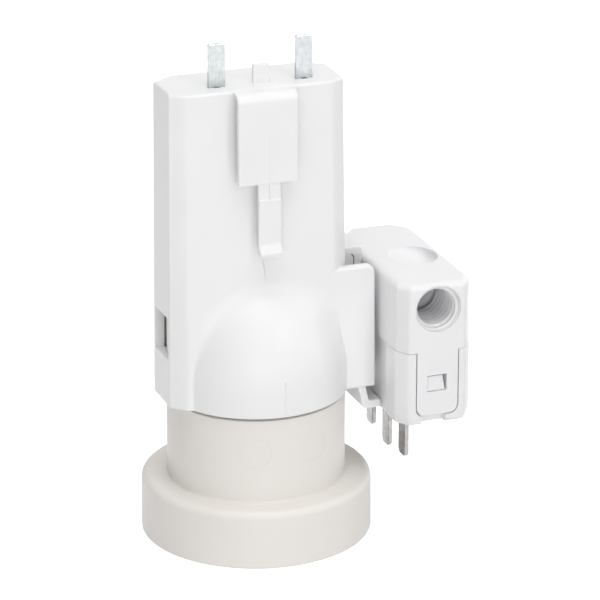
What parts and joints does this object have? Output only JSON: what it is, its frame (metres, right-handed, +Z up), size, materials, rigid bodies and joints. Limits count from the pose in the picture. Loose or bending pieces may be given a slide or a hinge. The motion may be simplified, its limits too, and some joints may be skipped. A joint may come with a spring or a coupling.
{
  "type": "temporary lamp holder",
  "caption": "Screw-cap lamp holder in a plug-on housing with a release latch and a spare plug clipped to its side.",
  "frame": {"origin": "centre of the bounding box's bottom face, on the plane of the skirt ring's lower edge", "axes": "+Z up along the lamp's axis, from the lamp's side to the blades; X along the row of blades, with the spare plug on +X; -Y is the side of the release latch"},
  "size_m": [0.0698, 0.052, 0.115],
  "materials": {
    "housing": "white moulding, soft gloss",
    "plug": "white moulding, soft gloss",
    "holder": "cream moulding, satin",
    "plating": "bright plated sheet metal",
    "brass": "bare brass",
    "screw": "plated steel",
    "brown_wire": "brown insulation",
    "blue_wire": "blue insulation"
  },
  "bodies": {
    "root": {"housing": "housing", "lamp_holder_body": "holder", "screw_shell": "brass", "centre_contact": "plating", "side_contact": "plating", "centre_contact_rivet": "brass", "side_contact_rivet": "brass", "live_blade": "plating", "neutral_blade": "plating", "blade_carrier": "housing", "live_wire": "brown_wire", "neutral_wire": "blue_wire", "plug_cover": "plug", "plug_base": "plug", "plug_live_pin": "plating", "plug_live_terminal": "brass", "plug_live_screw": "screw", "plug_earth_pin": "plating", "plug_earth_terminal": "brass", "plug_earth_screw": "screw", "plug_neutral_pin": "plating", "plug_neutral_terminal": "brass", "plug_neutral_screw": "screw"}
  },
  "joints": []
}
